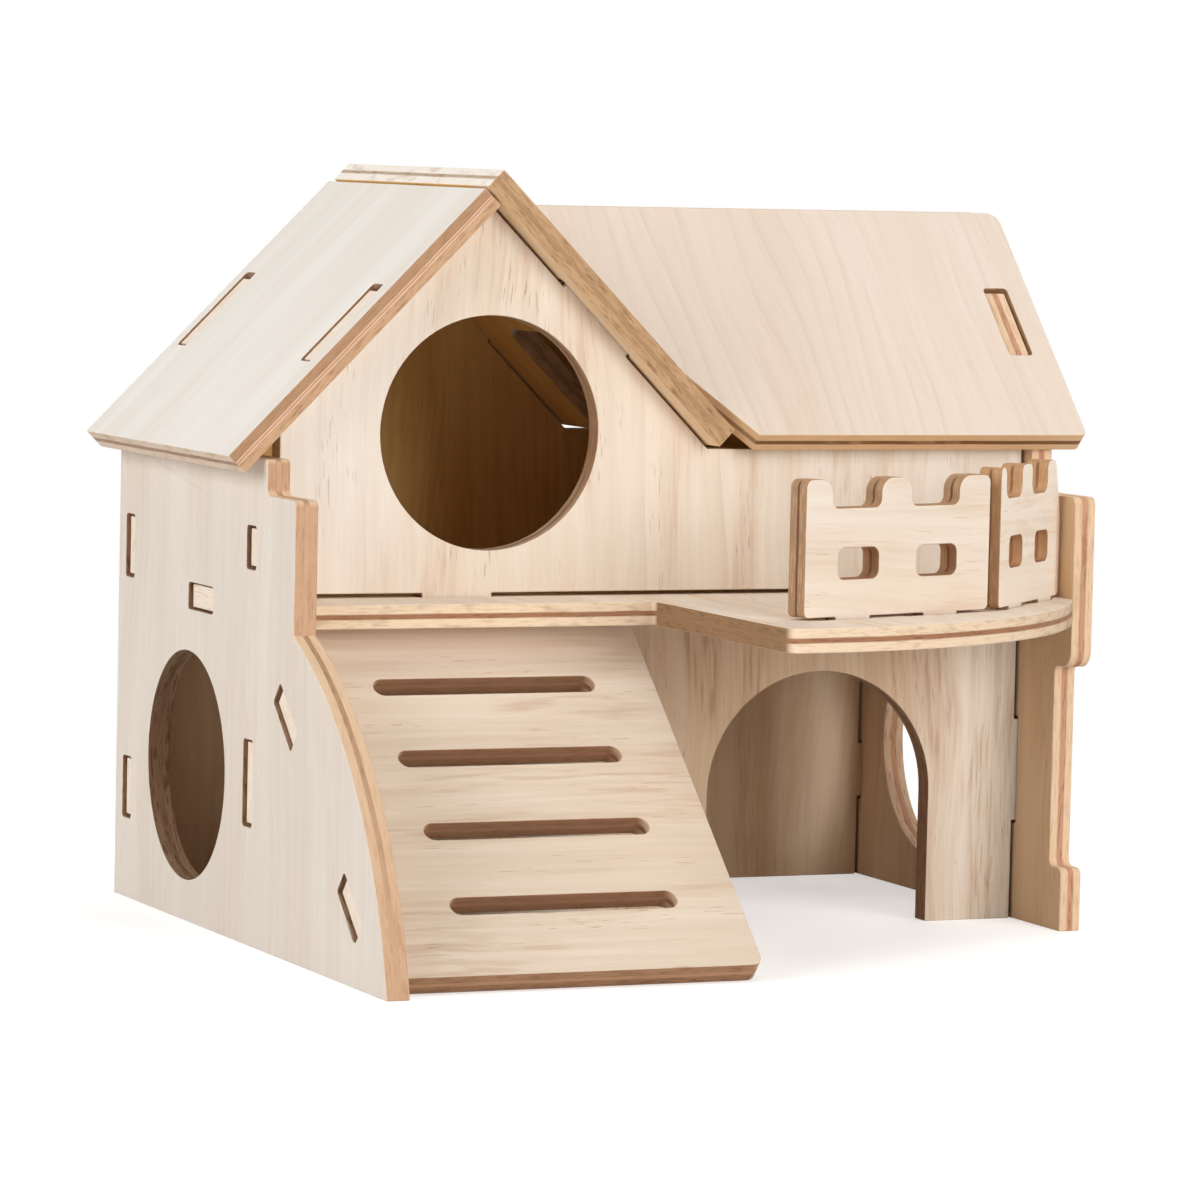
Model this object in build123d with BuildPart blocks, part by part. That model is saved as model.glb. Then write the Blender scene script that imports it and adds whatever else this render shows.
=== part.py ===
import os
from math import cos, radians, sin, sqrt, tan

from build123d import *

os.makedirs("parts", exist_ok=True)

# Driving dimensions in millimetres and degrees.
# X is measured from the middle between the side walls, Y from the middle of the front walls'
# thickness and Z from the floor. "Reach" is a distance forward of the front walls' front faces.

# The box of the house
sheet = 4.0  # thickness of the plywood
house_width = 147.0  # over the two side walls
house_depth = 66.0  # over the front and back walls
back_margin = 4.0  # side walls run on past the back wall
deck_height = 54.0  # floor to the underside of the deck

# Tabs and the slots that they go through
tab_recess = 0.7  # a tab ends this far below the face that it comes out at
slot_side_gap = 0.3  # clearance on each face of a tab
slot_end_gap = 0.5  # clearance at each end of a tab
slot_radius = 0.7  # rounded corners that the cutter leaves in a slot
wall_end_gap = 0.6  # between the cross walls' right edges and the right wall

# Gable, its two roof panels and its round window
gable_offset = 41.2  # left wall's outer face to the ridge
gable_height = 124.3  # floor to the tip of the gable walls
gable_pitch = 45.0
gable_front_overhang = 4.6
left_back_overhang = 3.4  # of the two roof panels
right_back_overhang = 1.8
left_panel_length = 63.7  # down the underside from the tip
right_panel_length = 57.7
left_tab_start = 24.9  # roof tabs, down the slope from the tip
right_tab_start = 19.4
gable_tab_length = 16.4
gable_tab_recess = 0.3
gable_slot_run = 0.8  # the roof's slots run on past the tabs' upper ends
gable_seat_gap = 0.5  # under the right panel, which rests on its tabs
gable_end_gap = 0.5  # left panel's upper end to the right panel
window_offset = 0.4  # window's centre beside the ridge line
window_height = 85.6
window_radius = 19.8
passage_start = 32.5  # opening between the attics, down the slope from the tip
passage_width = 32.0
passage_radius = 3.0

# Main roof, whose ridge runs from side to side
eave_height = 82.9  # underside of the eaves and top of the straight wall
main_pitch = 45.8
main_overhang = 4.0
main_side_overhang = 4.6
main_corner_radius = 2.5
eave_corner_radius = 1.2
valley_gap = 0.2  # between the main roof's slanted ends and the gable's roof
ridge_gap = 0.3  # between the two main panels
main_tab_start = 19.2  # up the slope from the eave
main_tab_length = 14.8

# Side walls
left_top_gap = 1.6  # left wall's top to the gable roof above its outer face
post_radius = 0.8
shoulder_height = 75.6
shoulder_radius = 1.3
left_post_reach = 5.2
left_block_reach = 18.7
left_curve_top = 53.5  # where the straight front of the left wall starts to sweep out
left_curve_radius = 75.5
left_foot_margin = 3.4  # left wall runs on past the ramp's lower end
right_post_reach = 2.6
right_block_reach = 19.2
right_block_low = 46.0
right_block_radius = 3.0
right_recess_reach = 13.4
right_foot_reach = 17.8
right_foot_height = 11.0
right_foot_radius = 1.4
side_door_height = 26.8  # centre of the round side doors
side_door_radius = 19.7

# Front, lower and back walls
door_offset = 42.4  # right wall's outer face to the centre of the arched door
door_radius = 21.25
door_spring = 23.1  # floor to where the arch springs
upper_wall_lift = 0.7  # gap under the upper wall, which stands on its foot tab
foot_tab_offset = 36.2  # left wall's outer face to the centre of that tab
foot_tab_length = 12.6
lower_left_tab = (20.3, 33.9)  # heights of the walls' end tabs
lower_right_tab = (17.4, 35.3)
upper_tab = (63.3, 69.6)
back_low_tab = (14.6, 24.5)
back_high_tab = (57.2, 67.3)

# Deck
ledge_reach = 13.6
deck_reach = 66.5
ledge_radius = 1.0
deck_corner_radius = 2.0
deck_tab = (21.0, 32.5)  # along Y, from the front face of the front wall

# Ramp
ramp_width = 62.8
ramp_slope = 41.65
ramp_corner_radius = 2.0
ramp_slot_start = 12.2  # from the ramp's left edge
ramp_slot_length = 39.7
ramp_slot_width = 3.6
ramp_slot_pitch = 15.9
ramp_slot_count = 4
ramp_tabs = (16.55, 57.8)  # middles of the side tabs, up the slope
ramp_tab_length = 10.2

# Railings
rail_lift = 0.4  # gap under a railing, which stands on the deck by its tabs
rail_corner_inset = 14.8  # deck's round edge back to where the two railings meet
rail_corner_offset = 27.55  # right wall's inner face to where they meet
rail_corner_gap = 1.2
rail_slot_run = 3.7  # the deck's slots run on past the tabs' left ends
rail_foot_radius = 1.0
rail_window_radius = 1.5
front_rail_angle = 17.7
front_rail_length = 42.05
front_rail_height = 23.0
front_rail_posts = (5.9, 6.86, 7.22)  # widths of the posts beside the notches
front_rail_notch_depth = 4.8
front_rail_notch_radius = 1.4
front_rail_tip_radius = 2.5
front_rail_end_radius = 1.4
front_rail_window_width = 9.3
front_rail_window_shift = 0.5  # window's centre to the right of its notch's
front_rail_window_heights = (6.5, 11.7)
front_rail_tab_length = 7.75
front_rail_tab_ends = (7.1, 7.15)  # railing's ends to its tabs
side_rail_angle = 45.5
side_rail_wall_gap = 0.3
side_rail_height = 24.0
side_rail_posts = (2.95, 5.8, 7.9)
side_rail_notch_depth = 5.3
side_rail_notch_radius = 2.0
side_rail_tip_radius = 1.4
side_rail_end_radius = 1.2
side_rail_taper_width = 3.2  # the end at the wall slants in at its top
side_rail_taper_height = 10.0
side_rail_window_width = 7.7
side_rail_window_shift = 1.6
side_rail_window_heights = (6.85, 12.2)
side_rail_tab_length = 7.35
side_rail_tab_ends = (6.1, 4.2)

# Places worked out from the driving dimensions
outer_x = house_width / 2
inner_x = outer_x - sheet
front_y = -sheet / 2
back_y = front_y + house_depth
wall_end_y = back_y + back_margin
front_mid_y = 0.0
back_mid_y = back_y - sheet / 2
middle_y = (front_y + back_y) / 2
deck_top = deck_height + sheet
tab_depth = sheet - tab_recess
gable_tab_depth = sheet - gable_tab_recess
tab_root = sheet / 2  # how far a tab's profile reaches back into its own panel
gable_x = gable_offset - outer_x
gable_tip = (gable_x, gable_height)
window_x = gable_x + window_offset
door_x = outer_x - door_offset
foot_tab_x = foot_tab_offset - outer_x
deck_side_x = ramp_width - inner_x
deck_front_y = front_y - deck_reach
ledge_y = front_y - ledge_reach
left_block_y = front_y - left_block_reach
right_block_y = front_y - right_block_reach
main_run = house_depth / 2 + main_overhang
main_length = main_run / cos(radians(main_pitch))
main_height = eave_height + main_run * tan(radians(main_pitch))
main_tip = (middle_y, main_height)
main_right_x = outer_x + main_side_overhang

# The ramp leans on the front wall with its underside and meets the deck with its top edge.
ramp_lean = radians(ramp_slope)
ramp_length = (deck_height - sheet * cos(ramp_lean)) / sin(ramp_lean)
ramp_foot_y = front_y - ramp_length * cos(ramp_lean)
ramp_end_y = ramp_foot_y - sheet * sin(ramp_lean)
left_foot_y = ramp_end_y - left_foot_margin

# The deck's round edge leaves its front corner square to the side edge and ends at the right wall.
arc_width = inner_x - deck_side_x
arc_rise = right_block_y - deck_front_y
arc_radius = (arc_width**2 + arc_rise**2) / (2 * arc_rise)
arc_centre_y = deck_front_y + arc_radius

# The railings stand on straight lines from a corner that follows the round edge.
side_rail_x = inner_x - rail_corner_offset
edge_drop = sqrt(arc_radius**2 - (side_rail_x - deck_side_x) ** 2)
side_rail_y = arc_centre_y - edge_drop + rail_corner_inset
side_rail_turn = radians(side_rail_angle)
side_rail_room = rail_corner_offset - side_rail_wall_gap
side_rail_length = (side_rail_room - sheet * sin(side_rail_turn)) / cos(side_rail_turn)
front_rail_turn = radians(front_rail_angle)
front_rail_run = front_rail_length + rail_corner_gap
front_rail_x = side_rail_x - front_rail_run * cos(front_rail_turn)
front_rail_y = side_rail_y - front_rail_run * sin(front_rail_turn)


# A point beside a roof's slope: along is measured down the underside from the tip and
# out square to it. Side is -1 for the slope that falls to the left or front, +1 for the other.
def slope_point(tip, pitch, side, along, out):
    lean = radians(pitch)
    across = tip[0] + side * (along * cos(lean) + out * sin(lean))
    height = tip[1] - along * sin(lean) + out * cos(lean)
    return across, height


# Where the outside of the gable's right roof panel passes a given height.
def valley_x(height):
    edge = slope_point(gable_tip, gable_pitch, 1, 0, sheet)
    return edge[0] + (edge[1] - height) / tan(radians(gable_pitch)) + valley_gap


# Underside of a gable roof panel, with x running down the slope.
def gable_plane(side):
    lean = radians(gable_pitch)
    return Plane(
        origin=(gable_x, 0, gable_height),
        x_dir=(side * cos(lean), 0, -sin(lean)),
        z_dir=(side * sin(lean), 0, cos(lean)),
    )


# Back face of a railing at its left end, with x along the railing and y up.
def rail_plane(x, y, turn):
    return Plane(
        origin=(x, y, deck_top),
        x_dir=(cos(turn), sin(turn), 0),
        z_dir=(sin(turn), -cos(turn), 0),
    )


# A tab that stands on the sloping edge of a wall.
def slope_tab(tip, pitch, side, start, length, depth):
    with Locations(slope_point(tip, pitch, side, start + length / 2, (depth - tab_root) / 2)):
        Rectangle(length, depth + tab_root, rotation=-side * pitch)


# A slot that clears a tab of the given length, which runs across or up the sketch.
def tab_slot(length, up=False, rotation=0, mode=Mode.SUBTRACT):
    room = length + 2 * slot_end_gap
    width = sheet + 2 * slot_side_gap
    if up:
        RectangleRounded(width, room, slot_radius, rotation=rotation, mode=mode)
    else:
        RectangleRounded(room, width, slot_radius, rotation=rotation, mode=mode)


# Tabs at the two ends of a wall that spans the side walls.
def end_tabs(left_heights, right_heights):
    for side, (low, high) in ((-1, left_heights), (1, right_heights)):
        with Locations((side * (inner_x + (tab_depth - tab_root) / 2), (low + high) / 2)):
            Rectangle(tab_depth + tab_root, high - low)


# Slots of a side wall for the cross walls' end tabs and the deck's side tab.
def side_wall_slots(lower_tab):
    crossings = (
        (front_mid_y, lower_tab),
        (front_mid_y, upper_tab),
        (back_mid_y, back_low_tab),
        (back_mid_y, back_high_tab),
    )
    for y, (low, high) in crossings:
        with Locations((y, (low + high) / 2)):
            tab_slot(high - low, up=True)
    start, end = deck_tab
    with Locations((front_y + (start + end) / 2, deck_height + sheet / 2)):
        tab_slot(end - start)


# Outline shared by the upper front wall and the back wall: gable on the left, straight on the right.
def gable_outline(bottom):
    lean = tan(radians(gable_pitch))
    left_height = gable_height - (gable_x + inner_x) * lean
    peak = slope_point(gable_tip, gable_pitch, -1, gable_seat_gap / sin(radians(2 * gable_pitch)), 0)
    shoulder_x = gable_x + (gable_height - eave_height) / lean
    shoulder_x -= gable_seat_gap / sin(radians(gable_pitch))
    right_edge = inner_x - wall_end_gap
    with BuildLine() as outline:
        Polyline(
            (-inner_x, bottom),
            (-inner_x, left_height),
            peak,
            (shoulder_x, eave_height),
            (right_edge, eave_height),
            (right_edge, bottom),
            close=True,
        )
    make_face(outline.edges())
    for side, start in ((-1, left_tab_start), (1, right_tab_start)):
        slope_tab(gable_tip, gable_pitch, side, start, gable_tab_length, gable_tab_depth)


# Spans of a railing's two notches, which share the length that its posts leave.
def notch_spans(length, posts):
    width = (length - sum(posts)) / 2
    second = posts[0] + width + posts[1]
    return (posts[0], posts[0] + width), (second, second + width)


# Spans of a railing's two tabs.
def rail_tab_spans(length, ends, tab_length):
    left, right = ends
    return (left, left + tab_length), (length - right - tab_length, length - right)


# Outline of a railing, with notches in its top and tabs that stand in the deck. End is its
# right end from the top down to the foot, as one corner or two.
def rail_outline(height, notches, notch_depth, notch_radius, tip_radius, end, end_radius, tabs):
    low = height - notch_depth
    points = [(0, rail_lift), (0, height)]
    radii = [rail_foot_radius, end_radius]
    for start, stop in notches:
        points += [(start, height), (start, low), (stop, low), (stop, height)]
        radii += [tip_radius, notch_radius, notch_radius, tip_radius]
    points += [*end, (end[-1][0], rail_lift)]
    radii += [end_radius] * len(end) + [rail_foot_radius]
    with BuildLine() as outline:
        FilletPolyline(*points, radius=radii, close=True)
    make_face(outline.edges())
    for start, stop in tabs:
        with Locations(((start + stop) / 2, (rail_lift + tab_root - tab_depth) / 2)):
            Rectangle(stop - start, rail_lift + tab_root + tab_depth)


# Windows of a railing, one near the middle of each notch.
def rail_windows(notches, shift, width, heights):
    low, high = heights
    for start, stop in notches:
        with Locations(((start + stop) / 2 + shift, (low + high) / 2)):
            RectangleRounded(width, high - low, rail_window_radius, mode=Mode.SUBTRACT)


# Slots in the deck for the tabs of a railing.
def rail_slots(x, y, turn, tabs):
    with BuildSketch(Plane(origin=(x, y, deck_top), x_dir=(cos(turn), sin(turn), 0))) as slots:
        for start, stop in tabs:
            with Locations(((start - rail_slot_run + stop) / 2, -sheet / 2)):
                tab_slot(stop - start + rail_slot_run, mode=Mode.ADD)
    extrude(slots.sketch, amount=-sheet, mode=Mode.SUBTRACT)


# Slots in a gable roof panel for the tabs of the front and back walls.
def gable_slots(side, start):
    with BuildSketch(gable_plane(side)) as slots:
        for y in (front_mid_y, back_mid_y):
            with Locations((start + (gable_tab_length - gable_slot_run) / 2, side * y)):
                tab_slot(gable_tab_length + gable_slot_run, mode=Mode.ADD)
    extrude(slots.sketch, amount=2 * sheet, both=True, mode=Mode.SUBTRACT)


gable_roof_front = Plane.XZ.offset(-(front_y - gable_front_overhang))
gable_walls_depth = gable_front_overhang + house_depth
ridge_cut = sheet / sin(radians(2 * gable_pitch))

# Left wall: a straight post and block above, and a front edge that sweeps out beside the ramp
left_top = gable_height - (gable_x + outer_x) * tan(radians(gable_pitch)) - left_top_gap
left_post_y = front_y - left_post_reach
with BuildPart() as left_wall:
    with BuildSketch(Plane.YZ.offset(-outer_x)):
        with BuildLine():
            FilletPolyline(
                (left_foot_y, 0),
                (wall_end_y, 0),
                (wall_end_y, left_top),
                (left_post_y, left_top),
                (left_post_y, shoulder_height),
                (left_block_y, shoulder_height),
                (left_block_y, left_curve_top),
                radius=(0, post_radius, post_radius, shoulder_radius, shoulder_radius),
            )
            RadiusArc((left_block_y, left_curve_top), (left_foot_y, 0), -left_curve_radius)
        make_face()
        with Locations((middle_y, side_door_height)):
            Circle(side_door_radius, mode=Mode.SUBTRACT)
        side_wall_slots(lower_left_tab)
        for along in ramp_tabs:
            slot_y = ramp_foot_y + along * cos(ramp_lean) - sheet / 2 * sin(ramp_lean)
            slot_z = along * sin(ramp_lean) + sheet / 2 * cos(ramp_lean)
            with Locations((slot_y, slot_z)):
                tab_slot(ramp_tab_length, rotation=ramp_slope)
    extrude(amount=sheet)
left_wall.part.label = "left_wall"
export_step(left_wall.part, "parts/left_wall.step")

# Right wall: gable top under the main roof, block beside the deck and a foot below the recess
right_post_y = front_y - right_post_reach
right_recess_y = front_y - right_recess_reach
right_foot_y = front_y - right_foot_reach
with BuildPart() as right_wall:
    with BuildSketch(Plane.YZ.offset(inner_x)):
        main_lean = tan(radians(main_pitch))
        with BuildLine():
            FilletPolyline(
                (right_foot_y, 0),
                (wall_end_y, 0),
                (wall_end_y, main_height - (wall_end_y - middle_y) * main_lean),
                main_tip,
                (right_post_y, main_height - (middle_y - right_post_y) * main_lean),
                (right_post_y, shoulder_height),
                (right_block_y, shoulder_height),
                (right_block_y, right_block_low),
                (right_recess_y, right_block_low),
                (right_recess_y, right_foot_height),
                (right_foot_y, right_foot_height),
                radius=(
                    0,
                    0,
                    0,
                    0,
                    0,
                    shoulder_radius,
                    shoulder_radius,
                    right_block_radius,
                    shoulder_radius,
                    right_foot_radius,
                    right_foot_radius,
                ),
                close=True,
            )
        make_face()
        main_tab_from_tip = main_length - main_tab_start - main_tab_length
        for side in (-1, 1):
            slope_tab(main_tip, main_pitch, side, main_tab_from_tip, main_tab_length, tab_depth)
        with Locations((middle_y, side_door_height)):
            Circle(side_door_radius, mode=Mode.SUBTRACT)
        side_wall_slots(lower_right_tab)
    extrude(amount=sheet)
right_wall.part.label = "right_wall"
export_step(right_wall.part, "parts/right_wall.step")

# Lower front wall, with the arched door beside the ramp
with BuildPart() as front_wall_lower:
    with BuildSketch(Plane.XZ.offset(-front_y)):
        with Locations((-wall_end_gap / 2, deck_height / 2)):
            Rectangle(2 * inner_x - wall_end_gap, deck_height)
        end_tabs(lower_left_tab, lower_right_tab)
        with Locations((door_x, door_spring)):
            Circle(door_radius, mode=Mode.SUBTRACT)
        with Locations((door_x, door_spring / 2)):
            Rectangle(2 * door_radius, door_spring, mode=Mode.SUBTRACT)
    extrude(amount=-sheet)
front_wall_lower.part.label = "front_wall_lower"
export_step(front_wall_lower.part, "parts/front_wall_lower.step")

# Upper front wall, standing on the lower one by a foot tab that goes through the deck
with BuildPart() as front_wall_upper:
    with BuildSketch(Plane.XZ.offset(-front_y)):
        gable_outline(deck_top + upper_wall_lift)
        end_tabs(upper_tab, upper_tab)
        foot_tab_top = deck_top + upper_wall_lift + tab_root
        with Locations((foot_tab_x, (deck_height + foot_tab_top) / 2)):
            Rectangle(foot_tab_length, foot_tab_top - deck_height)
        with Locations((window_x, window_height)):
            Circle(window_radius, mode=Mode.SUBTRACT)
    extrude(amount=-sheet)
front_wall_upper.part.label = "front_wall_upper"
export_step(front_wall_upper.part, "parts/front_wall_upper.step")

# Back wall, from the floor to both roofs
with BuildPart() as back_wall:
    with BuildSketch(Plane.XZ.offset(-back_y)):
        gable_outline(0)
        end_tabs(back_low_tab, back_low_tab)
        end_tabs(back_high_tab, back_high_tab)
    extrude(amount=sheet)
back_wall.part.label = "back_wall"
export_step(back_wall.part, "parts/back_wall.step")

# Places of the railings' notches and tabs, along each railing
front_rail_notches = notch_spans(front_rail_length, front_rail_posts)
front_rail_tabs = rail_tab_spans(front_rail_length, front_rail_tab_ends, front_rail_tab_length)
side_rail_notches = notch_spans(side_rail_length, side_rail_posts)
side_rail_tabs = rail_tab_spans(side_rail_length, side_rail_tab_ends, side_rail_tab_length)

# Deck: floor of the upper room, a ledge over the ramp and a round balcony over the door
with BuildPart() as deck:
    with BuildSketch(Plane.XY.offset(deck_height)) as deck_outline:
        with BuildLine():
            FilletPolyline(
                (inner_x, right_block_y),
                (inner_x, back_y - sheet),
                (-inner_x, back_y - sheet),
                (-inner_x, ledge_y),
                (deck_side_x, ledge_y),
                (deck_side_x, deck_front_y),
                radius=(0, 0, 0, ledge_radius),
            )
            TangentArc((deck_side_x, deck_front_y), (inner_x, right_block_y), tangent=(1, 0))
        make_face()
        front_corner = deck_outline.vertices().sort_by(Axis.Y)[0]
        fillet(front_corner, deck_corner_radius)
        with Locations((0, front_y + (deck_tab[0] + deck_tab[1]) / 2)):
            Rectangle(2 * (inner_x + tab_depth), deck_tab[1] - deck_tab[0])
        with Locations((foot_tab_x, front_mid_y)):
            tab_slot(foot_tab_length)
    extrude(amount=sheet)
    rail_slots(front_rail_x, front_rail_y, front_rail_turn, front_rail_tabs)
    rail_slots(side_rail_x, side_rail_y, side_rail_turn, side_rail_tabs)
deck.part.label = "deck"
export_step(deck.part, "parts/deck.step")

# Ramp: a sheet with long foot slots, tabbed into the left wall
ramp_plane = Plane(
    origin=(-inner_x, ramp_foot_y, 0),
    x_dir=(1, 0, 0),
    z_dir=(0, -sin(ramp_lean), cos(ramp_lean)),
)
with BuildPart() as ramp:
    with BuildSketch(ramp_plane):
        with BuildLine():
            FilletPolyline(
                (0, 0),
                (ramp_width, 0),
                (ramp_width, ramp_length),
                (0, ramp_length),
                radius=(0, ramp_corner_radius, 0, 0),
                close=True,
            )
        make_face()
        for along in ramp_tabs:
            with Locations(((tab_root - tab_depth) / 2, along)):
                Rectangle(tab_depth + tab_root, ramp_tab_length)
        with Locations((ramp_slot_start + ramp_slot_length / 2, ramp_length / 2)):
            with GridLocations(0, ramp_slot_pitch, 1, ramp_slot_count):
                SlotOverall(ramp_slot_length, ramp_slot_width, mode=Mode.SUBTRACT)
    extrude(amount=sheet)
ramp.part.label = "ramp"
export_step(ramp.part, "parts/ramp.step")

# Gable's left roof panel, whose upper end is cut to the underside of the right one
end_slip = gable_end_gap / sin(radians(2 * gable_pitch))
left_end = slope_point(gable_tip, gable_pitch, -1, end_slip, 0)
with BuildPart() as gable_roof_left:
    with BuildSketch(gable_roof_front):
        with BuildLine():
            Polyline(
                left_end,
                slope_point(left_end, gable_pitch, 1, -ridge_cut, 0),
                slope_point(gable_tip, gable_pitch, -1, left_panel_length, sheet),
                slope_point(gable_tip, gable_pitch, -1, left_panel_length, 0),
                close=True,
            )
        make_face()
    extrude(amount=-(gable_walls_depth + left_back_overhang))
    gable_slots(-1, left_tab_start)
gable_roof_left.part.label = "gable_roof_left"
export_step(gable_roof_left.part, "parts/gable_roof_left.step")

# Gable's right roof panel, lapping the left one, with a passage into the main attic
passage_end = right_panel_length + 2 * passage_radius
with BuildPart() as gable_roof_right:
    with BuildSketch(gable_roof_front):
        ridge_x, ridge_z = slope_point(gable_tip, gable_pitch, 1, -ridge_cut, 0)
        with BuildLine():
            Polyline(
                (ridge_x, ridge_z),
                (
                    ridge_x + ridge_cut * cos(radians(gable_pitch)),
                    ridge_z + ridge_cut * sin(radians(gable_pitch)),
                ),
                slope_point(gable_tip, gable_pitch, 1, right_panel_length, sheet),
                slope_point(gable_tip, gable_pitch, 1, right_panel_length, 0),
                close=True,
            )
        make_face()
    extrude(amount=-(gable_walls_depth + right_back_overhang))
    gable_slots(1, right_tab_start)
    with BuildSketch(gable_plane(1)):
        with Locations(((passage_start + passage_end) / 2, middle_y)):
            RectangleRounded(passage_end - passage_start, passage_width, passage_radius)
    extrude(amount=2 * sheet, both=True, mode=Mode.SUBTRACT)
gable_roof_right.part.label = "gable_roof_right"
export_step(gable_roof_right.part, "parts/gable_roof_right.step")

# Main roof's front panel, cut along the valley where it meets the gable's roof
main_plane = Plane(
    origin=(0, middle_y - main_run, eave_height),
    x_dir=(1, 0, 0),
    z_dir=(0, -sin(radians(main_pitch)), cos(radians(main_pitch))),
)
panel_length = main_length - ridge_gap / 2
with BuildPart() as main_roof_front:
    with BuildSketch(main_plane):
        panel_top = eave_height + panel_length * sin(radians(main_pitch))
        with BuildLine():
            FilletPolyline(
                (valley_x(eave_height), 0),
                (main_right_x, 0),
                (main_right_x, panel_length),
                (valley_x(panel_top), panel_length),
                radius=(0, eave_corner_radius, main_corner_radius, 0),
                close=True,
            )
        make_face()
        with Locations((outer_x - sheet / 2, main_tab_start + main_tab_length / 2)):
            tab_slot(main_tab_length, up=True)
    extrude(amount=sheet)
main_roof_front.part.label = "main_roof_front"
export_step(main_roof_front.part, "parts/main_roof_front.step")

# Main roof's back panel, the mirror image of the front one
with BuildPart() as main_roof_back:
    mirror(main_roof_front.part, about=Plane.XZ.offset(-middle_y))
main_roof_back.part.label = "main_roof_back"
export_step(main_roof_back.part, "parts/main_roof_back.step")

# Front railing of the balcony
with BuildPart() as railing_front:
    with BuildSketch(rail_plane(front_rail_x, front_rail_y, front_rail_turn)):
        rail_outline(
            front_rail_height,
            front_rail_notches,
            front_rail_notch_depth,
            front_rail_notch_radius,
            front_rail_tip_radius,
            [(front_rail_length, front_rail_height)],
            front_rail_end_radius,
            front_rail_tabs,
        )
        rail_windows(
            front_rail_notches,
            front_rail_window_shift,
            front_rail_window_width,
            front_rail_window_heights,
        )
    extrude(amount=sheet)
railing_front.part.label = "railing_front"
export_step(railing_front.part, "parts/railing_front.step")

# Side railing, from the corner to the right wall
with BuildPart() as railing_side:
    with BuildSketch(rail_plane(side_rail_x, side_rail_y, side_rail_turn)):
        rail_outline(
            side_rail_height,
            side_rail_notches,
            side_rail_notch_depth,
            side_rail_notch_radius,
            side_rail_tip_radius,
            [
                (side_rail_length - side_rail_taper_width, side_rail_height),
                (side_rail_length, side_rail_height - side_rail_taper_height),
            ],
            side_rail_end_radius,
            side_rail_tabs,
        )
        rail_windows(
            side_rail_notches,
            side_rail_window_shift,
            side_rail_window_width,
            side_rail_window_heights,
        )
    extrude(amount=sheet)
railing_side.part.label = "railing_side"
export_step(railing_side.part, "parts/railing_side.step")
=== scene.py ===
import math

import bmesh
import bpy
from mathutils import Matrix, Vector


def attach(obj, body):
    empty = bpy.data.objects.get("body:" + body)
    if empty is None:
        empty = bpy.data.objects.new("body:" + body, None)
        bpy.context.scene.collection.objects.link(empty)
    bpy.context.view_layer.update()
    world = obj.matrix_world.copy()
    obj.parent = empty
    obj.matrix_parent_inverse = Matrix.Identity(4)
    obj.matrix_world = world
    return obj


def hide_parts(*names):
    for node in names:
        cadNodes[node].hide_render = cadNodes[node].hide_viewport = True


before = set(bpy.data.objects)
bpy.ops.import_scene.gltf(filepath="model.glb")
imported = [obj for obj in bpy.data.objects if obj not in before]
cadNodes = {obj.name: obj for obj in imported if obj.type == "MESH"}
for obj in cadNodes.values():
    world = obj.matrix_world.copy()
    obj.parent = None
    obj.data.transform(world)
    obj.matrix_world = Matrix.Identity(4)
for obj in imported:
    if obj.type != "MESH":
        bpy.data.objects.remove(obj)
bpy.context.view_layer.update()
print("frame loaded:", len(cadNodes), "sheets")


def linear(red, green, blue):
    # 0 to 255 display values to the linear colour that a shader takes
    parts = []
    for value in (red, green, blue):
        value = value / 255
        parts.append(value / 12.92 if value <= 0.04045 else ((value + 0.055) / 1.055) ** 2.4)
    return (*parts, 1.0)


class Socket:
    # an output of a node, so that arithmetic on it adds Math nodes
    def __init__(self, graph, link):
        self.graph = graph
        self.link = link

    def __add__(self, other):
        return self.graph.math("ADD", self, other)

    def __sub__(self, other):
        return self.graph.math("SUBTRACT", self, other)

    def __rsub__(self, other):
        return self.graph.math("SUBTRACT", other, self)

    def __mul__(self, other):
        return self.graph.math("MULTIPLY", self, other)

    def __truediv__(self, other):
        return self.graph.math("DIVIDE", self, other)

    def __pow__(self, other):
        return self.graph.math("POWER", self, other)

    def __abs__(self):
        return self.graph.math("ABSOLUTE", self)

    __radd__ = __add__
    __rmul__ = __mul__


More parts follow.
